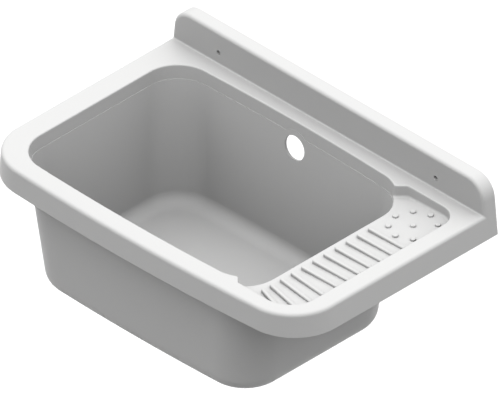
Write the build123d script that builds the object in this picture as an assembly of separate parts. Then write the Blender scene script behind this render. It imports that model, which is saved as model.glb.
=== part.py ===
from build123d import *
import os
from math import cos, pi, radians, sin, sqrt, tan

# Wall-hung utility laundry sink: one moulded basin with a washboard tray, and
# the waste fitting that closes its drain. X runs to the right seen from the
# front, Y runs into the wall (the wall plane is Y = 0) and Z is up. While the
# basin is drawn, Z = 0 is the top of the deck and X = 0 the middle of its
# width; `datum` then moves everything so that the origin lies midway between
# the two wall screws, on the wall plane.

# ---------------------------------------------------------------- basin sizes
wall = 3.0                  # moulded wall, the same all over
width = 502.6               # over the bottom edge of the skirt
depth = 331.3               # wall plane to the furthest point of the front edge
bow_r = 3200.0              # radius of every gently bowed long edge
skirt_h = 31.0              # deck top to the bottom edge of the skirt
side_draft = 5.7            # lean of the skirt's sides and of the upstand's ends, degrees
front_draft = 2.2           # and of the skirt's front
corner_r = 65.0             # front corners at the bottom edge of the skirt
rim_edge_r = 4.3            # rounding of the deck's outer edge and the upstand's front edge

upstand_h = 42.8            # deck top to the top of the upstand
upstand_t = 18.4            # wall plane to the upstand's front face, at its foot
upstand_draft = 0.5         # lean of that face, degrees
upstand_corner_r = 26.0     # top corners seen from the front
upstand_foot_r = 2.0

screw_spacing = 345.0
screw_mid_x = -2.0          # middle of the screw pair, from the middle of the width
screw_h = 15.0              # above the deck
screw_hole_r = 3.0
screw_boss_r = 7.0

# Bowl opening at deck level
deck_left = 33.2            # skirt's bottom edge to the bowl's left edge
deck_right = 26.0           # tray's right edge to the skirt's bottom edge
deck_front = 26.3           # front edge of the bowl to that of the skirt
bowl_back = 35.9            # wall plane to the middle of the back edge
bowl_corner_r = 43.4
corner_swell = 0.03         # growth of the corners' radius with depth, below the step
bowl_depth = 173.8          # deck top to the floor, at the foot of the walls
bowl_draft = 5.0
floor_fillet_r = 17.0
bowl_edge_r = 1.6           # rounding of the opening's edge
band_depth = 17.8           # deck top to the small step round the walls
band_draft = 3.5            # the band above the step is a little steeper

overflow_hole_r = 15.5
overflow_depth = 35.0       # deck top to the hole's centre
overflow_pad_r = 23.0       # flat pad that lifts the step round the hole

# Washboard tray, right of the bowl
tray_w = 73.1               # bowl's right edge to the tray's right edge
tray_back = 35.5            # wall plane to its back edge
tray_deck = 28.1            # its front edge to the front edge of the skirt
tray_depth = 14.6           # deck top to its floor, at the bowl
tray_fall = 2.2             # its floor falls towards the bowl, degrees
tray_back_r = 25.0
tray_front_r = 38.0
tray_floor_r = 3.0
mouth_angle = 56.0          # where its end walls leave the bowl's round corners
mouth_turn = 45.0           # and the way they run, both from the X axis
tray_throat_r = 4.0         # bend of those end walls into the long sides
post_r = 4.0                # the upright edges between bowl and tray
post_bite = 0.01            # the post's rounding crosses the bowl's wall by this much

rib_pitch = 17.67
rib_back_gap = 78.4         # tray's back edge to the middle of the first rib
rib_front_gap = 10.0        # least that is left between the last and the front edge
rib_left_gap = 7.3          # bowl's right edge to the ribs
rib_right_gap = 7.8         # ribs to the tray's right edge
rib_w = 5.0
rib_top_depth = 9.9         # deck top to the top of a rib, at the bowl
rib_top_fall = 0.6
rib_edge_r = 1.6
# The front ribs fan out, from the foremost: turn in degrees, how far it closes up
rib_fan = [(-19.0, 8.3), (-13.0, 3.6), (-8.5, 2.0), (-6.0, 1.3)]

button_right_gap = 34.8     # middle of the ring to the tray's right edge
button_back_gap = 38.5      # and to its back edge
button_ring_r = 28.0
button_ring_count = 8
button_r = 3.5
button_h = 2.4
button_edge_r = 1.2

# Ribs under the deck
stiffener_t = 2.4
stiffener_pitch = 120.0
stiffener_gap = 3.0         # they stop short of the skirt's bottom edge

# --------------------------------------------------------------- waste sizes
dish_fall = 2.0             # the bowl's floor falls this much to the drain
dish_edge = 6.0             # flat floor left round the dish, in front and behind
seat_r = 37.0               # recess that takes the strainer's flange
drain_hole_r = 27.0
seal_t = 2.0
seal_r = 33.0
seal_clear = 0.5

strainer_t = 1.2
strainer_flange_r = 35.0
strainer_mouth_r = 23.6     # the plug's seat, at floor level
strainer_floor_r = 21.6
strainer_depth = 15.0       # flange top to the underside of its floor
strainer_lip_r = 2.5
strainer_bend_r = 2.0
strainer_slots = 12
strainer_slot_w = 3.2
strainer_slot_in = 8.5
strainer_slot_out = 18.5

screw_r = 3.0
screw_head_r = 5.6
screw_head_t = 3.2
screw_slot_w = 1.6
nut_af = 10.0               # across flats
nut_t = 5.0
screw_tip = 3.0             # thread that stands out below the nut

body_seal_t = 3.0
body_seal_inset = 1.0       # the flange stands out past its seal
body_flange_r = 38.0
body_flange_t = 4.0
body_wall = 3.0
body_bore_r = 29.0          # clear round the strainer
body_straight = 30.0
body_cone = 16.0
outlet_r = 23.9             # outside of the 1 1/2 inch outlet
outlet_length = 20.0
hub_r = 8.0
hub_t = 9.0
hub_arm_t = 3.0
hub_arms = 3
hub_drop = 9.0              # strainer's floor to the top of the hub
fit_gap = 0.15              # between pieces that fit into each other

spigot_r = 12.0             # overflow inlet
spigot_bore_r = 9.0
spigot_reach = 48.0         # from the drain's axis to the inlet's mouth
cap_r = 16.0
cap_gap = 1.0               # below the body's flange
cap_length = 16.0
cap_wall = 2.6
cap_flutes = 12
cap_flute_r = 1.6
cap_edge_r = 1.2
blank_t = 2.0

plug_h = 12.0
plug_lip_t = 2.5
plug_lip_r = 25.0
plug_edge_r = 1.0
plug_rest_gap = 0.3         # lip to the strainer's flange
plug_clear = 0.35           # all round, in the strainer's mouth
plug_core_r = 14.0
plug_core_h = 4.0
eye_wire_r = 1.0
eye_inner_r = 2.2
eye_rise = 1.2              # straight part of the staple above the plug
eye_leg = 6.0               # and let into it
eye_fit = 0.05
ring_wire_r = 1.0
ring_r = 11.0
ring_rest_gap = 0.3         # ring to the plug's top

# ------------------------------------------------------------- derived values
side_lean = tan(radians(side_draft))
front_lean = tan(radians(front_draft))
bowl_lean = tan(radians(bowl_draft))
band_lean = tan(radians(band_draft))
bowl_left = width / 2 - deck_left
tray_right = width / 2 - deck_right
bowl_right = tray_right - tray_w
bowl_reach = depth - deck_front - bowl_back
bowl_mid_x = (bowl_right - bowl_left) / 2
bowl_mid_y = -bowl_back - bowl_reach / 2
tray_front = depth - tray_deck
rib_left = bowl_right + rib_left_gap
rib_length = tray_w - rib_left_gap - rib_right_gap
rib_first = tray_back + rib_back_gap
rib_count = int((tray_front - rib_front_gap - rib_first) / rib_pitch) + 1
dish_r = bowl_reach / 2 - bowl_depth * bowl_lean - floor_fillet_r - dish_edge
datum = Location((-screw_mid_x, 0, -screw_h))
at_drain = Location((bowl_mid_x, bowl_mid_y, 0))
seat_depth = strainer_t + seal_t + 0.3
past = 2.0                  # cutters reach this far past the face that they cut
wall_cut = 4 * wall         # length of a cutter centred on a wall
upstand_cut = 3 * upstand_t     # and of one centred on the wall plane


def bow(x):
    """How far a bowed edge has fallen back at x, seen from the bowl's middle."""
    return bow_r - sqrt(bow_r ** 2 - (x - bowl_mid_x) ** 2)


def rounded(face, corners):
    """The face with each given corner rounded by the radius beside it."""
    for corner, radius in corners:
        near = min(face.vertices(), key=lambda v: (Vector(*v) - corner).length)
        face = fillet(near, radius)
    return face.face()


def outline(points_and_bows, radii, z):
    """A closed face at height z. Each entry is a corner and says whether the
    edge that follows it is bowed; radii rounds the corners by their index."""
    edges = []
    corners = [Vector(x, y, z) for x, y, _ in points_and_bows]
    for i, start in enumerate(corners):
        end = corners[(i + 1) % len(corners)]
        peak = points_and_bows[i][2]
        if peak is None:
            edges.append(Line(start, end))
        else:
            edges.append(ThreePointArc(start, Vector(bowl_mid_x, peak, z), end))
    return rounded(make_face(Curve() + edges), [(corners[i], r) for i, r in radii.items()])


def rim_face(z, inset=0.0):
    """The skirt's outline at height z, with its drafted sides."""
    lean = (z + skirt_h) * side_lean + inset
    half = width / 2 - lean
    front = -depth + (z + skirt_h) * front_lean + inset
    left_y = front + bow(-half)
    right_y = front + bow(half)
    back = -inset
    corners = [(-half, back, None), (-half, left_y, front), (half, right_y, None), (half, back, None)]
    radius = corner_r - lean
    return outline(corners, {1: radius, 2: radius}, z)


def bowl_face(z, lean, grow=0.0, swell=0.0):
    """The bowl's outline at height z, grown outwards by `grow`."""
    inset = -z * lean - grow
    left = -bowl_left + inset
    right = bowl_right - inset
    back = -bowl_back - inset
    front = -bowl_back - bowl_reach + inset
    drop = bow(left)
    corners = [(left, back - drop, None), (left, front + drop, front),
               (right, front + drop, None), (right, back - drop, back)]
    radius = bowl_corner_r + grow - z * swell
    return outline(corners, {i: radius for i in range(4)}, z)


def bowl_corner(z, side):
    """Centre of a right-hand corner of the bowl at height z: side is 1 at the
    back and -1 at the front."""
    inset = -z * band_lean
    x = bowl_right - inset - bowl_corner_r
    reach = bowl_reach / 2 - inset - bow_r + sqrt((bow_r - bowl_corner_r) ** 2 - (x - bowl_mid_x) ** 2)
    return Vector(x, bowl_mid_y + side * reach)


def mouth(z, side, grow=0.0):
    """The tray's end wall at the bowl's corner: where it leaves the corner, the
    middle of the rounded post between them, where the post ends, and where the
    end wall meets the height y of the tray's long side."""
    inset = -z * band_lean - grow
    centre = bowl_corner(z, side)
    at = radians(mouth_angle)
    along = Vector(cos(radians(mouth_turn)), side * sin(radians(mouth_turn)))
    out = Vector(-along.Y, along.X) * side
    start = bowl_corner(0, side) + Vector(cos(at), side * sin(at)) * bowl_corner_r - out * inset
    radius = post_r - grow if grow < post_r else post_r
    base = start + out * radius - centre
    reach = bowl_corner_r + radius - post_bite
    half = base.dot(along)
    run = -half + sqrt(half ** 2 - base.dot(base) + reach ** 2)
    post = centre + base + along * run
    leaves = centre + (post - centre).normalized() * bowl_corner_r
    ends = post - out * radius
    middle = post - ((post - leaves) + (post - ends)).normalized() * radius
    side_y = -tray_back - inset if side > 0 else -tray_front + inset
    bend = ends + along * ((side_y - ends.Y) / along.Y)
    return leaves, middle, ends, bend


def tray_face(z, grow=0.0):
    """The tray's outline at height z; its left part lies inside the bowl."""
    inset = -z * band_lean - grow
    right = tray_right - inset
    back = mouth(z, 1, grow)
    front = mouth(z, -1, grow)
    up = Vector(0, 0, z)
    leaves_b, middle_b, ends_b, bend_b = [p + up for p in back]
    leaves_f, middle_f, ends_f, bend_f = [p + up for p in front]
    corner_b = Vector(right, bend_b.Y, z)
    corner_f = Vector(right, bend_f.Y, z)
    hub_b = bowl_corner(z, 1) + up
    hub_f = bowl_corner(z, -1) + up
    edges = [ThreePointArc(leaves_b, middle_b, ends_b), Line(ends_b, bend_b), Line(bend_b, corner_b),
             Line(corner_b, corner_f), Line(corner_f, bend_f), Line(bend_f, ends_f),
             ThreePointArc(ends_f, middle_f, leaves_f), Line(leaves_f, hub_f), Line(hub_f, hub_b),
             Line(hub_b, leaves_b)]
    return rounded(make_face(Curve() + edges), [(bend_b, tray_throat_r), (corner_b, tray_back_r + grow),
                                                (corner_f, tray_front_r + grow), (bend_f, tray_throat_r)])


def between(face_at, low, high):
    """A solid between the outline at height low and the one at height high."""
    return Solid.make_loft([face_at(low).outer_wire(), face_at(high).outer_wire()], True)


def disc(radius, low, high):
    """A solid cylinder that stands on the drain's axis."""
    return Pos(0, 0, low) * Cylinder(radius, high - low, align=(Align.CENTER, Align.CENTER, Align.MIN))


def slab(low, high):
    """A solid box between two corners."""
    size = [b - a for a, b in zip(low, high)]
    return Pos(*low) * Box(*size, align=(Align.MIN, Align.MIN, Align.MIN))


# ------------------------------------------------------------------ the basin
def upstand_block(inset=0.0, low=-skirt_h):
    """The upstand down to the skirt's bottom edge, its ends in line with it."""
    top = upstand_h - inset
    low_half = width / 2 - (low + skirt_h) * side_lean - inset
    top_half = width / 2 - (top + skirt_h) * side_lean - inset
    face = make_face(Polyline((-low_half, 0, low), (low_half, 0, low), (top_half, 0, top),
                              (-top_half, 0, top), close=True))
    ends = face.vertices().group_by(Axis.Z)[-1]
    face = fillet(ends, upstand_corner_r - inset)
    block = Pos(0, -inset, 0) * extrude(face, 2 * upstand_t, dir=(0, -1, 0))
    lean = tan(radians(upstand_draft))
    front = Plane((0, inset - upstand_t, 0), x_dir=(1, 0, 0), z_dir=(0, -1, lean))
    return split(block, bisect_by=front, keep=Keep.BOTTOM)


def deck_level(body):
    """The edges that lie in the plane of the deck's top."""
    return [e for e in body.edges() if e.bounding_box().size.Z < 0.01 and abs(e.center().Z) < 0.01]


def deck_and_upstand():
    """Deck, skirt and upstand, still solid inside, with their edges rounded."""
    body = between(rim_face, -skirt_h, 0) + upstand_block()
    front = [f for f in body.faces() if f.normal_at().Y < -0.9 and f.center().Z > upstand_h / 4][0]
    round_front = [e for e in front.edges() if e.center().Z > 0.01]
    round_deck = [e for e in deck_level(body) if e.center().Y < -upstand_t - 0.01]
    body = fillet(round_front + round_deck, rim_edge_r)
    at_foot = [e for e in deck_level(body) if abs(e.center().Y + upstand_t) < rim_edge_r]
    return fillet(at_foot, upstand_foot_r)


def screw_axes(radius):
    """Two cylinders where the wall screws go through the upstand."""
    along = Rot(90, 0, 0) * Cylinder(radius, upstand_cut)
    return [Pos(screw_mid_x + side * screw_spacing / 2, 0, screw_h) * along for side in (-1, 1)]


def bowl_form(top, grow=0.0):
    """The bowl below the step, from its floor up to height `top`, with the
    floor's edge rounded. Grown by the wall it is the bowl's outside."""
    form = between(lambda z: bowl_face(z, bowl_lean, grow, corner_swell), -bowl_depth - grow, top)
    return fillet(form.edges().group_by(Axis.Z)[0], floor_fillet_r + grow)


def overflow_plane():
    """On the inside of the back wall, facing into the bowl."""
    y = -bowl_back - overflow_depth * bowl_lean
    return Plane((bowl_mid_x, y, -overflow_depth), x_dir=(1, 0, 0), z_dir=(0, -1, bowl_lean))


def bowl_space():
    """All that is hollow in the bowl: the drafted walls, the steeper band above
    the step, and the pad round the overflow hole, which lifts the step."""
    band = between(lambda z: bowl_face(z, band_lean), -band_depth, past)
    pad = overflow_plane() * Cylinder(overflow_pad_r, wall_cut)
    return bowl_form(-band_depth / 2) + (band - pad)


def sloping_plane(x, z, fall):
    """A plane through height z at x that falls towards the bowl, in degrees."""
    fall = radians(fall)
    return Plane((x, 0, z), x_dir=(cos(fall), 0, sin(fall)), z_dir=(-sin(fall), 0, cos(fall)))


def tray_floor(lower=0.0):
    """The tray's sloping floor, or a plane parallel to it and lower down."""
    return sloping_plane(bowl_right, -tray_depth - lower, tray_fall)


def tray_form(top, grow=0.0):
    """The tray from its sloping floor up to height `top`."""
    form = between(lambda z: tray_face(z, grow), -2 * tray_depth, top)
    return split(form, bisect_by=tray_floor(grow), keep=Keep.TOP)


def washboard():
    """Raised ribs with level rounded tops, and a ring of buttons at the back."""
    top = sloping_plane(rib_left, -rib_top_depth, rib_top_fall)
    rib = extrude(Pos(rib_length / 2, 0) * SlotOverall(rib_length, rib_w), -2 * wall)
    rib = fillet(rib.edges().group_by(Axis.Z)[-1], rib_edge_r)
    parts = []
    straight = [(0.0, 0.0)] * rib_count
    fan = (rib_fan + straight)[:rib_count]
    for i, (turn, closer) in enumerate(reversed(fan)):
        y = -rib_first - i * rib_pitch + closer
        parts.append(top * Pos(0, y, 0) * Rot(0, 0, turn) * rib)
    button = Cylinder(button_r, button_h + wall, align=(Align.CENTER, Align.CENTER, Align.MAX))
    button = fillet(button.edges().group_by(Axis.Z)[-1], button_edge_r)
    spots = [(0.0, 0.0)]
    for i in range(button_ring_count):
        angle = 2 * pi * i / button_ring_count
        spots.append((button_ring_r * cos(angle), button_ring_r * sin(angle)))
    floor = tray_floor(-button_h)
    x0, y0 = tray_w - button_right_gap, -tray_back - button_back_gap
    for x, y in spots:
        parts.append(floor * Pos(x0 + x, y0 + y, 0) * button)
    return parts


def tray_space():
    """The tray's hollow: its floor rounds up into the walls, and the washboard
    stands in it."""
    form = tray_form(past)
    floor = form.faces().sort_by(Axis.Z)[0]
    left = floor.edges().sort_by(Axis.X)[0]
    space = fillet([e for e in floor.edges() if e.center().X > left.center().X + 1], tray_floor_r)
    for raised in washboard():
        space = space - raised
    return space


def inside_space():
    """Bowl and tray as one hollow."""
    return bowl_space() + tray_space()


def stiffeners():
    """Upright plates under the deck, square to the skirt, in both directions."""
    low, high = -skirt_h + stiffener_gap, upstand_h - wall / 2
    half = stiffener_t / 2
    plates = []
    count = int(width / 2 / stiffener_pitch)
    for i in range(-count, count):
        step = (i + 0.5) * stiffener_pitch
        x = bowl_mid_x + step
        if -bowl_left < x < tray_right:
            plates.append(slab((x - half, -depth, low), (x + half, 0, high)))
        y = bowl_mid_y + step
        if -depth + corner_r < y < -bowl_back:
            plates.append(slab((-width / 2, y - half, low), (width / 2, y + half, 0)))
    return plates


def underside():
    """What is hollow below the deck and inside the upstand."""
    low = -skirt_h - past
    hollow = between(lambda z: rim_face(z, wall), low, -wall) + upstand_block(wall, low)
    for part in [bowl_form(0, wall), tray_form(0, wall), *stiffeners(), *screw_axes(screw_boss_r)]:
        hollow = hollow - part
    return hollow


def drain_dish(floor, grow=0.0):
    """The shallow cone by which a floor falls to the drain's seat."""
    cone = Cone(seat_r + grow, dish_r + grow, dish_fall, align=(Align.CENTER, Align.CENTER, Align.MAX))
    return at_drain * Pos(0, 0, floor) * cone


def drain_outside():
    """The bowl's underside at the drain: the dish and the boss of the seat."""
    floor = -bowl_depth - wall
    return drain_dish(floor, wall) + at_drain * disc(seat_r + wall, floor - dish_fall - seat_depth, floor)


def drain_inside():
    """The fall of the floor to the drain, the strainer's seat and the hole."""
    floor = -bowl_depth
    seat = floor - dish_fall - seat_depth
    round_cuts = disc(dish_r, floor, floor + past) + disc(seat_r, seat, floor)
    return drain_dish(floor) + at_drain * (round_cuts + disc(drain_hole_r, seat - wall_cut, floor))


def make_basin():
    """The moulding, all in one wall thickness."""
    body = deck_and_upstand() + bowl_form(0, wall) + drain_outside()
    body = body - underside() - inside_space() - drain_inside()
    deck = [f for f in body.faces().filter_by(Axis.Z) if abs(f.center().Z) < 0.01]
    opening = max(deck, key=lambda f: f.area).inner_wires()[0]
    body = fillet(opening.edges(), bowl_edge_r)
    body = body - overflow_plane() * Cylinder(overflow_hole_r, wall_cut)
    for hole in screw_axes(screw_hole_r):
        body = body - hole
    return body


# ------------------------------------------------- the waste, drawn at its axis
def ring(outer, inner, low, high):
    """A flat ring or a tube on the drain's axis."""
    return disc(outer, low, high) - disc(inner, low - past, high + past)


def turned(*edges):
    """A solid turned about the drain's axis from a closed profile in XZ."""
    return revolve(make_face(Curve() + list(edges)), Axis.Z)


def make_flange_seal():
    return ring(seal_r, strainer_mouth_r + strainer_lip_r + seal_clear, seat_z, seat_z + seal_t)


def strainer_floor_z():
    """The inside of the strainer's floor, where its screw's head lies."""
    return flange_z - strainer_depth + strainer_t


def make_strainer():
    """A pressed dish: flat flange, rounded mouth, tapered wall, slotted floor."""
    t, lip, bend = strainer_t, strainer_lip_r, strainer_bend_r
    rim, mouth_r, floor_r = strainer_flange_r, strainer_mouth_r, strainer_floor_r
    top, floor = flange_z, strainer_floor_z()
    hole = screw_r + fit_gap
    inner = [(rim, top), (mouth_r + lip, top), (mouth_r, top - lip),
             (floor_r, floor + bend), (floor_r - bend, floor), (hole, floor)]
    outer = [(rim, top - t), (mouth_r + lip, top - t), (mouth_r + t, top - lip),
             (floor_r + t, floor + bend), (floor_r - bend, floor - t), (hole, floor - t)]
    (a, b, c, d, e, f), (A, B, C, D, E, F) = [[Vector(x, 0, z) for x, z in side] for side in (inner, outer)]
    dish = turned(Line(a, b), corner_arc(b, c, b - Vector(0, 0, lip)), Line(c, d),
                  corner_arc(d, e, e + Vector(0, 0, bend)), Line(e, f), Line(f, F), Line(F, E),
                  corner_arc(E, D, E + Vector(0, 0, bend + t)), Line(D, C),
                  corner_arc(C, B, B - Vector(0, 0, lip - t)), Line(B, A), Line(A, a))
    length = strainer_slot_out - strainer_slot_in
    slot = Pos((strainer_slot_in + strainer_slot_out) / 2, 0, floor) * extrude(
        SlotOverall(length, strainer_slot_w), 2 * strainer_t, both=True)
    for i in range(strainer_slots):
        dish = dish - Rot(0, 0, 360 * i / strainer_slots) * slot
    return dish


def corner_arc(start, end, centre):
    """The short arc from start to end about the centre."""
    middle = (start - centre).normalized() + (end - centre).normalized()
    return ThreePointArc(start, centre + middle.normalized() * (start - centre).length, end)


def make_centre_screw():
    """Pan head with a driver slot, and a plain shank down through the nut."""
    head_low = strainer_floor_z()
    head = disc(screw_head_r, head_low, head_low + screw_head_t)
    head = fillet(head.edges().group_by(Axis.Z)[-1], screw_head_t / 2)
    slot = slab((-screw_head_r, -screw_slot_w / 2, head_low + screw_head_t / 2),
                (screw_head_r, screw_slot_w / 2, head_low + screw_head_t + past))
    return head - slot + disc(screw_r, hub_low_z - screw_tip, head_low)


def make_body_seal():
    outer = body_flange_r - body_seal_inset
    return ring(outer, drain_hole_r + seal_clear, body_top_z, body_top_z + body_seal_t)


def make_waste_body():
    """The bell under the bowl: flange, straight wall, cone and outlet, a spider
    for the nut and the inlet for an overflow hose."""
    straight_z = body_top_z - body_straight
    outlet_z = straight_z - body_cone
    end_z = outlet_z - outlet_length
    outlet_bore = outlet_r - body_wall
    outside = [(body_flange_r, body_top_z), (body_flange_r, body_top_z - body_flange_t),
               (body_bore_r + body_wall, body_top_z - body_flange_t), (body_bore_r + body_wall, straight_z),
               (outlet_r, outlet_z), (outlet_r, end_z)]
    inside = [(outlet_bore, end_z), (outlet_bore, outlet_z),
              (body_bore_r, straight_z), (body_bore_r, body_top_z)]
    points = [Vector(x, 0, z) for x, z in outside + inside]
    bell = turned(*[Line(p, q) for p, q in zip(points, points[1:] + points[:1])])
    inlet = Pos(0, 0, inlet_z) * Rot(-90, 0, 0)
    bell = bell + inlet * (Pos(0, 0, spigot_reach / 2) * Cylinder(spigot_r, spigot_reach)
                           - Cylinder(body_bore_r, 4 * spigot_reach, rotation=(90, 0, 0)))
    bore = Pos(0, 0, (spigot_reach + body_bore_r) / 2) * Cylinder(spigot_bore_r, spigot_reach)
    bell = bell - inlet * bore
    arm_reach = body_bore_r + body_wall / 2
    arm = slab((0, -hub_arm_t / 2, hub_low_z), (arm_reach, hub_arm_t / 2, hub_low_z + hub_t))
    for i in range(hub_arms):
        bell = bell + Rot(0, 0, -90 + 360 * i / hub_arms) * arm
    bell = bell + disc(hub_r, hub_low_z, hub_low_z + hub_t)
    pocket = extrude(RegularPolygon((nut_af + fit_gap) / 2, 6, major_radius=False), nut_t)
    bell = bell - Pos(0, 0, hub_low_z) * pocket
    return bell - disc(screw_r + fit_gap, hub_low_z - past, hub_low_z + hub_t + past)


def make_insert_nut():
    nut = extrude(RegularPolygon(nut_af / 2, 6, major_radius=False), nut_t)
    return Pos(0, 0, hub_low_z) * nut - disc(screw_r, hub_low_z - past, hub_low_z + nut_t + past)


def make_blanking_disc():
    return Pos(0, spigot_reach + blank_t / 2, inlet_z) * Rot(90, 0, 0) * Cylinder(spigot_r, blank_t)


def make_inlet_cap():
    """Screw cap with a fluted grip; it presses the blanking disc on the inlet."""
    end = spigot_reach + blank_t + cap_wall
    low = end - cap_length
    cap = Cylinder(cap_r, cap_length)
    cap = fillet(cap.edges().group_by(Axis.Z)[-1], cap_edge_r)
    flute = Pos(cap_r + cap_flute_r / 2, 0) * Cylinder(cap_flute_r, 2 * cap_length)
    for i in range(cap_flutes):
        cap = cap - Rot(0, 0, 360 * i / cap_flutes) * flute
    cap = cap - Pos(0, 0, -cap_wall) * Cylinder(spigot_r + fit_gap, cap_length)
    return Pos(0, (low + end) / 2, inlet_z) * Rot(-90, 0, 0) * cap


def plug_radius(z):
    """The plug follows the strainer's tapered wall, a little inside it."""
    wall_h = strainer_depth - strainer_t - strainer_lip_r - strainer_bend_r
    share = (flange_z - strainer_lip_r - z) / wall_h
    return strainer_mouth_r - (strainer_mouth_r - strainer_floor_r) * share - plug_clear


def make_stopper():
    """Tapered rubber plug with a lip over the mouth and a cored underside."""
    low = plug_top_z - plug_h
    neck = plug_top_z - plug_lip_t
    core = low + plug_core_h
    points = [(0, plug_top_z), (plug_lip_r, plug_top_z), (plug_lip_r, neck), (plug_radius(neck), neck),
              (plug_radius(low), low), (plug_core_r, low), (plug_core_r, core), (0, core)]
    points = [Vector(x, 0, z) for x, z in points]
    plug = turned(*[Line(p, q) for p, q in zip(points, points[1:] + points[:1])])
    plug = fillet(plug.edges().filter_by(GeomType.CIRCLE).group_by(Axis.Z)[-1], plug_edge_r)
    leg_hole = disc(eye_wire_r + eye_fit, plug_top_z - eye_leg, plug_top_z + past)
    for side in (-1, 1):
        plug = plug - Pos(side * eye_bend_r, 0, 0) * leg_hole
    return plug


def make_stopper_eye():
    """A wire staple let into the plug, standing across the pull ring."""
    arch = plug_top_z + eye_rise
    low = plug_top_z - eye_leg
    path = Line((-eye_bend_r, 0, low), (-eye_bend_r, 0, arch)) + ThreePointArc(
        (-eye_bend_r, 0, arch), (0, 0, arch + eye_bend_r), (eye_bend_r, 0, arch)) + Line(
        (eye_bend_r, 0, arch), (eye_bend_r, 0, low))
    section = Plane((-eye_bend_r, 0, low), z_dir=(0, 0, 1)) * Circle(eye_wire_r)
    return sweep(section, path)


def make_pull_ring():
    """A wire ring through the staple, lying to the right on the plug."""
    return Pos(ring_r, 0, ring_axis_z) * Torus(ring_r, ring_wire_r)


# Heights of the waste's pieces
seat_z = -bowl_depth - dish_fall - seat_depth
flange_z = seat_z + seal_t + strainer_t
body_top_z = seat_z - wall - body_seal_t
hub_low_z = strainer_floor_z() - hub_drop - hub_t
inlet_z = body_top_z - body_flange_t - cap_r - cap_gap
plug_top_z = flange_z + plug_rest_gap + plug_lip_t
ring_axis_z = plug_top_z + ring_wire_r + ring_rest_gap
eye_bend_r = eye_inner_r + eye_wire_r

nodes = {
    "basin": make_basin(),
    "flange_seal": at_drain * make_flange_seal(),
    "strainer": at_drain * make_strainer(),
    "centre_screw": at_drain * make_centre_screw(),
    "body_seal": at_drain * make_body_seal(),
    "waste_body": at_drain * make_waste_body(),
    "insert_nut": at_drain * make_insert_nut(),
    "blanking_disc": at_drain * make_blanking_disc(),
    "inlet_cap": at_drain * make_inlet_cap(),
    "stopper": at_drain * make_stopper(),
    "stopper_eye": at_drain * make_stopper_eye(),
    "pull_ring": at_drain * make_pull_ring(),
}

os.makedirs("parts", exist_ok=True)
for name, solid in nodes.items():
    export_step(datum * solid, f"parts/{name}.step")
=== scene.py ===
import math

import bpy
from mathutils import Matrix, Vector


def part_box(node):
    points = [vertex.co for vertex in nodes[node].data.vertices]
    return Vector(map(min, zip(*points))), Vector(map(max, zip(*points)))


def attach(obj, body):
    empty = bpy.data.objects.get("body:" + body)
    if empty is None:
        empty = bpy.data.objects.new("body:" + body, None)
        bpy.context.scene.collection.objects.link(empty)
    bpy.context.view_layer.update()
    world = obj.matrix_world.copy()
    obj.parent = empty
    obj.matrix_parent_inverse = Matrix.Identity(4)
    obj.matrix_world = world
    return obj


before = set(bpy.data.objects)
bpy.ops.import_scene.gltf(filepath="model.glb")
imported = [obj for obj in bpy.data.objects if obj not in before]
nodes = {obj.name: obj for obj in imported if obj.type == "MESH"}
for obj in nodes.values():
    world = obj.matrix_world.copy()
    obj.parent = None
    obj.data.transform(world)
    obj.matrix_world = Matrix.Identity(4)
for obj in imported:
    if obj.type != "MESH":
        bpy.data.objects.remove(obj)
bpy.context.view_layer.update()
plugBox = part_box("stopper")
drainAxis = (plugBox[0] + plugBox[1]) / 2    # the waste and its plug are turned about it


photoView = {
    "backwards": (0.57735, -0.57735, 0.57735),    # isometric, from the front right and above
    "lookAt": (0.04004, -0.18066, -0.0152),
    "distance": 2.0,
    "widthSeen": 0.5618,
    "clipEnd": 50.0,
}


def setCamera():
    camera = bpy.data.objects.new("camera", bpy.data.cameras.new("camera"))
    bpy.context.scene.collection.objects.link(camera)
    backwards = Vector(photoView["backwards"]).normalized()
    camera.data.type = "ORTHO"
    camera.data.ortho_scale = photoView["widthSeen"]
    camera.data.clip_end = photoView["clipEnd"]
    camera.location = Vector(photoView["lookAt"]) + backwards * photoView["distance"]
    camera.rotation_mode = "QUATERNION"
    camera.rotation_quaternion = (-backwards).to_track_quat("-Z", "Y")
    bpy.context.scene.camera = camera
    print("camera set at the photograph's angle")


studio = {
    "floorHeight": -0.95,             # the deck of a sink is about this far above it
    "floorSize": 30.0,
    "floorShade": (0.90, 0.90, 0.90, 1),
    "floorGlow": 0.35,                # seen as white, with the sink's shadow left in it
    "skyOverhead": 1.40,
    "skyHorizon": 0.16,               # level with the sink; below it the sky is as dim
    "keyFrom": (-0.55, 0.55, 1.6),    # a large soft lamp above and behind
    "keySpread": 50.0,                # degrees
    "keyStrength": 0.10,
    "returnSize": 0.6,                # the light that a pale floor throws back
    "returnStrength": 1.2,            # watts
    "returnLift": 0.01,               # above the floor
    "bounces": 0,                     # the skies stand for the light between the walls
}


def seenDirectly(tree):    # 1 for what the camera sees, also mirrored or through glass
    lightPath = tree.nodes.new("ShaderNodeLightPath")
    total = lightPath.outputs["Is Camera Ray"]
    for ray in ("Is Glossy Ray", "Is Transmission Ray"):
        either = tree.nodes.new("ShaderNodeMath")
        either.operation = "ADD"
        either.use_clamp = True
        tree.links.new(total, either.inputs[0])
        tree.links.new(lightPath.outputs[ray], either.inputs[1])
        total = either.outputs[0]
    return total


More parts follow.
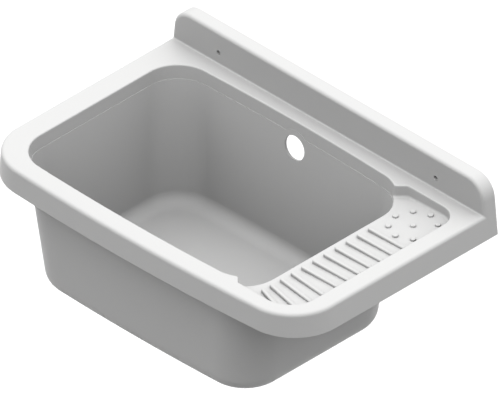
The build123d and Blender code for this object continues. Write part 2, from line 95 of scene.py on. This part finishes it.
def makeSky():
    world = bpy.data.worlds.new("softSky")
    bpy.context.scene.world = world
    world.use_nodes = True
    tree = world.node_tree
    tree.nodes.clear()
    out = tree.nodes.new("ShaderNodeOutputWorld")
    direction = tree.nodes.new("ShaderNodeTexCoord")
    parts = tree.nodes.new("ShaderNodeSeparateXYZ")
    height = tree.nodes.new("ShaderNodeMapRange")
    height.inputs["To Min"].default_value = studio["skyHorizon"]
    height.inputs["To Max"].default_value = studio["skyOverhead"]
    sky = tree.nodes.new("ShaderNodeBackground")
    white = tree.nodes.new("ShaderNodeBackground")
    sky.inputs["Color"].default_value = (1, 1, 1, 1)
    white.inputs["Color"].default_value = (1, 1, 1, 1)
    mix = tree.nodes.new("ShaderNodeMixShader")
    tree.links.new(direction.outputs["Generated"], parts.inputs[0])
    tree.links.new(parts.outputs["Z"], height.inputs["Value"])
    tree.links.new(height.outputs["Result"], sky.inputs["Strength"])
    tree.links.new(seenDirectly(tree), mix.inputs[0])
    tree.links.new(sky.outputs[0], mix.inputs[1])
    tree.links.new(white.outputs[0], mix.inputs[2])
    tree.links.new(mix.outputs[0], out.inputs["Surface"])


def makeFloor():
    bpy.ops.mesh.primitive_plane_add(size=studio["floorSize"],
                                     location=(0, 0, studio["floorHeight"]))
    floor = bpy.context.object
    floor.name = "floor"
    material = bpy.data.materials.new("paleFloor")
    material.use_nodes = True
    tree = material.node_tree
    tree.nodes.clear()
    out = tree.nodes.new("ShaderNodeOutputMaterial")
    shade = tree.nodes.new("ShaderNodeBsdfDiffuse")
    shade.inputs["Color"].default_value = studio["floorShade"]
    unseen = tree.nodes.new("ShaderNodeBsdfDiffuse")    # so that its glow lights nothing
    unseen.inputs["Color"].default_value = (0, 0, 0, 1)
    glow = tree.nodes.new("ShaderNodeEmission")
    glow.inputs["Strength"].default_value = studio["floorGlow"]
    seen = tree.nodes.new("ShaderNodeAddShader")
    topSide = tree.nodes.new("ShaderNodeMixShader")
    clear = tree.nodes.new("ShaderNodeBsdfTransparent")
    side = tree.nodes.new("ShaderNodeNewGeometry")
    either = tree.nodes.new("ShaderNodeMixShader")
    tree.links.new(shade.outputs[0], seen.inputs[0])
    tree.links.new(glow.outputs[0], seen.inputs[1])
    tree.links.new(seenDirectly(tree), topSide.inputs[0])
    tree.links.new(unseen.outputs[0], topSide.inputs[1])
    tree.links.new(seen.outputs[0], topSide.inputs[2])
    # a view from below looks through it
    tree.links.new(side.outputs["Backfacing"], either.inputs[0])
    tree.links.new(topSide.outputs[0], either.inputs[1])
    tree.links.new(clear.outputs[0], either.inputs[2])
    tree.links.new(either.outputs[0], out.inputs["Surface"])
    floor.data.materials.append(material)


def makeKeyLight():
    lamp = bpy.data.objects.new("keyLight", bpy.data.lights.new("keyLight", "SUN"))
    bpy.context.scene.collection.objects.link(lamp)
    lamp.data.energy = studio["keyStrength"]
    lamp.data.angle = math.radians(studio["keySpread"])
    lamp.rotation_mode = "QUATERNION"
    lamp.rotation_quaternion = Vector(studio["keyFrom"]).to_track_quat("Z", "Y")


def makeReturnLight():
    lamp = bpy.data.objects.new("returnLight", bpy.data.lights.new("returnLight", "AREA"))
    bpy.context.scene.collection.objects.link(lamp)
    lamp.data.energy = studio["returnStrength"]
    lamp.data.size = studio["returnSize"]
    lamp.location = (0, 0, studio["floorHeight"] + studio["returnLift"])
    lamp.rotation_euler = (math.pi, 0, 0)    # facing up
    lamp.visible_camera = False
    lamp.visible_glossy = False


def setStudio():
    makeSky()
    makeFloor()
    makeKeyLight()
    makeReturnLight()
    bpy.context.scene.view_settings.view_transform = "Standard"
    bpy.context.scene.cycles.diffuse_bounces = studio["bounces"]
    print("sky, floor and lights set")


noiseLook = {
    "cloudDetail": 3.0,
    "grainDetail": 2.0,
    "ringDetail": 3.0,
    "low": 0.3,                       # nearly all of a noise lies between these
    "high": 0.7,
}


def addSockets(group, kind, names, direction="INPUT"):
    for name in names:
        group.interface.new_socket(name=name, in_out=direction, socket_type="NodeSocket" + kind)


def startFinish(name, colours, numbers, places=()):    # what every shared finish takes and gives
    group = bpy.data.node_groups.new(name, "ShaderNodeTree")
    addSockets(group, "Color", colours)
    addSockets(group, "Float", numbers)
    addSockets(group, "Vector", places)
    addSockets(group, "Color", ("Color",), "OUTPUT")
    addSockets(group, "Float", ("Roughness", "Height"), "OUTPUT")
    given = group.nodes.new("NodeGroupInput").outputs
    made = group.nodes.new("NodeGroupOutput").inputs
    return group, given, made


def noiseAt(tree, place, scale, detail):
    noise = tree.nodes.new("ShaderNodeTexNoise")
    noise.inputs["Detail"].default_value = detail
    tree.links.new(place, noise.inputs["Vector"])
    tree.links.new(scale, noise.inputs["Scale"])
    return noise.outputs["Fac"]


def tintBy(tree, value, first, second):    # from one colour to the other
    tint = tree.nodes.new("ShaderNodeMix")
    tint.data_type = "RGBA"
    tree.links.new(value, tint.inputs["Factor"])
    tree.links.new(first, tint.inputs["A"])
    tree.links.new(second, tint.inputs["B"])
    return tint.outputs["Result"]


def spreadBy(tree, value, low, high):    # a noise stretched between two numbers
    stretch = tree.nodes.new("ShaderNodeMapRange")
    stretch.inputs["From Min"].default_value = noiseLook["low"]
    stretch.inputs["From Max"].default_value = noiseLook["high"]
    tree.links.new(value, stretch.inputs["Value"])
    tree.links.new(low, stretch.inputs["To Min"])
    tree.links.new(high, stretch.inputs["To Max"])
    return stretch.outputs["Result"]


def vectorStep(tree, operation, vector):
    step = tree.nodes.new("ShaderNodeVectorMath")
    step.operation = operation
    tree.links.new(vector, step.inputs[0])
    return step


def makeGrainGroup():    # the faint orange peel and uneven gloss of a moulded surface
    group, given, made = startFinish("mouldGrain", ("Pale", "Deep"),
                                     ("Smooth", "Rough", "Cloud Scale", "Grain Scale"))
    place = group.nodes.new("ShaderNodeTexCoord").outputs["Object"]
    cloud = noiseAt(group, place, given["Cloud Scale"], noiseLook["cloudDetail"])
    grain = noiseAt(group, place, given["Grain Scale"], noiseLook["grainDetail"])
    group.links.new(tintBy(group, cloud, given["Pale"], given["Deep"]), made["Color"])
    group.links.new(spreadBy(group, grain, given["Smooth"], given["Rough"]), made["Roughness"])
    group.links.new(grain, made["Height"])


def makeTurnedGroup():    # fine rings round an upright axis, as a lathe leaves them
    group, given, made = startFinish("turnedFinish", ("Bright", "Dull"),
                                     ("Smooth", "Rough", "Rings"), ("Centre",))
    place = group.nodes.new("ShaderNodeTexCoord").outputs["Object"]
    fromCentre = vectorStep(group, "SUBTRACT", place)
    group.links.new(given["Centre"], fromCentre.inputs[1])
    flat = vectorStep(group, "MULTIPLY", fromCentre.outputs["Vector"])
    flat.inputs[1].default_value = (1.0, 1.0, 0.0)
    radius = vectorStep(group, "LENGTH", flat.outputs["Vector"]).outputs["Value"]
    noise = group.nodes.new("ShaderNodeTexNoise")
    noise.noise_dimensions = "1D"
    noise.inputs["Detail"].default_value = noiseLook["ringDetail"]
    group.links.new(radius, noise.inputs["W"])
    group.links.new(given["Rings"], noise.inputs["Scale"])
    rings = noise.outputs["Fac"]
    group.links.new(tintBy(group, rings, given["Bright"], given["Dull"]), made["Color"])
    group.links.new(spreadBy(group, rings, given["Smooth"], given["Rough"]), made["Roughness"])
    group.links.new(rings, made["Height"])


def newMaterial(name):
    material = bpy.data.materials.new(name)
    material.use_nodes = True
    return material, material.node_tree, material.node_tree.nodes["Principled BSDF"]


def addBump(tree, shader, height, strength, distance):
    bump = tree.nodes.new("ShaderNodeBump")
    bump.inputs["Strength"].default_value = strength
    bump.inputs["Distance"].default_value = distance
    tree.links.new(height, bump.inputs["Height"])
    tree.links.new(bump.outputs["Normal"], shader.inputs["Normal"])


def useGroup(tree, groupName, look, sockets):    # the group's own values for one material
    group = tree.nodes.new("ShaderNodeGroup")
    group.node_tree = bpy.data.node_groups[groupName]
    for socket, key in sockets:
        group.inputs[socket].default_value = look[key]
    return group


def finishWith(tree, shader, group, look):    # colour, gloss and relief
    tree.links.new(group.outputs["Color"], shader.inputs["Base Color"])
    tree.links.new(group.outputs["Roughness"], shader.inputs["Roughness"])
    addBump(tree, shader, group.outputs["Height"], look["reliefStrength"], look["reliefDepth"])


def makeMoulded(name, look):
    material, tree, shader = newMaterial(name)
    grain = useGroup(tree, "mouldGrain", look, (
        ("Pale", "pale"), ("Deep", "deep"), ("Smooth", "smooth"), ("Rough", "rough"),
        ("Cloud Scale", "cloudScale"), ("Grain Scale", "grainScale")))
    finishWith(tree, shader, grain, look)
    shader.inputs["Specular IOR Level"].default_value = look["specular"]
    return material


def makeTurned(name, look):
    material, tree, shader = newMaterial(name)
    rings = useGroup(tree, "turnedFinish", look, (
        ("Bright", "bright"), ("Dull", "dull"), ("Smooth", "smooth"), ("Rough", "rough"),
        ("Rings", "rings"), ("Centre", "centre")))
    finishWith(tree, shader, rings, look)
    shader.inputs["Metallic"].default_value = 1.0
    return material


mouldedWhite = {
    "pale": (0.905, 0.905, 0.900, 1),
    "deep": (0.885, 0.885, 0.880, 1),
    "smooth": 0.38,
    "rough": 0.50,
    "cloudScale": 9.0,
    "grainScale": 1100.0,
    "reliefStrength": 0.25,
    "reliefDepth": 0.00003,
    "specular": 0.35,
}

wastePlastic = {    # the waste's own white: greyer and glossier than the sink
    "pale": (0.86, 0.86, 0.85, 1),
    "deep": (0.82, 0.82, 0.80, 1),
    "smooth": 0.26,
    "rough": 0.36,
    "cloudScale": 30.0,
    "grainScale": 900.0,
    "reliefStrength": 0.20,
    "reliefDepth": 0.00002,
    "specular": 0.45,
}

sealRubber = {
    "pale": (0.055, 0.055, 0.055, 1),
    "deep": (0.035, 0.035, 0.036, 1),
    "smooth": 0.55,
    "rough": 0.75,
    "cloudScale": 60.0,
    "grainScale": 1500.0,
    "reliefStrength": 0.35,
    "reliefDepth": 0.00004,
    "specular": 0.30,
}

plugRubber = {
    "pale": (0.085, 0.085, 0.088, 1),
    "deep": (0.060, 0.060, 0.063, 1),
    "smooth": 0.48,
    "rough": 0.66,
    "cloudScale": 45.0,
    "grainScale": 1300.0,
    "reliefStrength": 0.30,
    "reliefDepth": 0.00004,
    "specular": 0.35,
}

pressedSteel = {
    "bright": (0.66, 0.66, 0.65, 1),
    "dull": (0.52, 0.52, 0.51, 1),
    "smooth": 0.20,
    "rough": 0.34,
    "rings": 2600.0,                  # brushed rings per metre of radius
    "centre": drainAxis,
    "reliefStrength": 0.25,
    "reliefDepth": 0.00002,
}

platedWire = {
    "bright": (0.78, 0.78, 0.79, 1),
    "dull": (0.70, 0.70, 0.71, 1),
    "smooth": 0.08,
    "rough": 0.16,
    "rings": 700.0,
    "centre": drainAxis,
    "reliefStrength": 0.08,
    "reliefDepth": 0.00001,
}

plainBrass = {
    "bright": (0.76, 0.58, 0.28, 1),
    "dull": (0.60, 0.43, 0.18, 1),
    "smooth": 0.24,
    "rough": 0.40,
    "rings": 3200.0,
    "centre": drainAxis,
    "reliefStrength": 0.25,
    "reliefDepth": 0.00002,
}


def dress(names, material):
    for name in names:
        piece = nodes[name]
        piece.data.materials.clear()
        piece.data.materials.append(material)


def deselectAll():
    for piece in bpy.context.selected_objects:
        piece.select_set(False)


screwThread = {    # stands out below the nut, seen up the outlet
    "ridge": 0.00042,                 # from the middle of its three-sided section to a corner
    "sunk": 0.00018,                  # that middle lies this deep in the shank
    "pitch": 0.0009,
    "stepsPerTurn": 28,
    "plainEnds": 0.0006,
    "weld": 0.000001,
}


def shankRadius(name, height):    # of the screw below that height
    points = [v.co for v in nodes[name].data.vertices if v.co.z < height]
    return max(math.hypot(p.x - drainAxis.x, p.y - drainAxis.y) for p in points)


def makeScrewThread(steel):
    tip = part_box("centre_screw")[0].z + screwThread["plainEnds"]
    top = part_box("insert_nut")[0].z - screwThread["plainEnds"]
    shank = shankRadius("centre_screw", tip)
    deselectAll()
    bpy.ops.mesh.primitive_circle_add(vertices=3, radius=screwThread["ridge"], fill_type="NGON",
                                      location=(shank - screwThread["sunk"], 0, 0),
                                      rotation=(math.radians(90), 0, 0))
    thread = bpy.context.object
    thread.name = "screwThread"
    bpy.ops.object.transform_apply(location=True, rotation=True)
    winding = thread.modifiers.new("winding", "SCREW")
    winding.screw_offset = screwThread["pitch"]
    winding.iterations = int((top - tip) / screwThread["pitch"])
    winding.steps = winding.render_steps = screwThread["stepsPerTurn"]
    bpy.ops.object.modifier_apply(modifier="winding")
    thread.location = (drainAxis.x, drainAxis.y, tip)
    bpy.ops.object.transform_apply(location=True)
    bpy.ops.object.mode_set(mode="EDIT")
    bpy.ops.mesh.select_all(action="SELECT")
    bpy.ops.mesh.remove_doubles(threshold=screwThread["weld"])
    bpy.ops.mesh.select_all(action="DESELECT")
    bpy.ops.mesh.select_non_manifold()
    bpy.ops.mesh.fill_holes(sides=3)    # its two ends
    bpy.ops.mesh.select_all(action="SELECT")
    bpy.ops.mesh.normals_make_consistent(inside=False)
    bpy.ops.object.mode_set(mode="OBJECT")
    thread.data.materials.append(steel)
    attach(thread, "basin")


setCamera()
setStudio()
makeGrainGroup()
makeTurnedGroup()
dress(("basin",), makeMoulded("mouldedWhite", mouldedWhite))
print("basin finished")
dress(("waste_body", "inlet_cap"), makeMoulded("wastePlastic", wastePlastic))
dress(("flange_seal", "body_seal", "blanking_disc"), makeMoulded("sealRubber", sealRubber))
steel = makeTurned("pressedSteel", pressedSteel)
dress(("strainer", "centre_screw"), steel)
makeScrewThread(steel)
dress(("insert_nut",), makeTurned("plainBrass", plainBrass))
print("waste finished")
dress(("stopper",), makeMoulded("plugRubber", plugRubber))
dress(("stopper_eye", "pull_ring"), makeTurned("platedWire", platedWire))
print("plug finished")
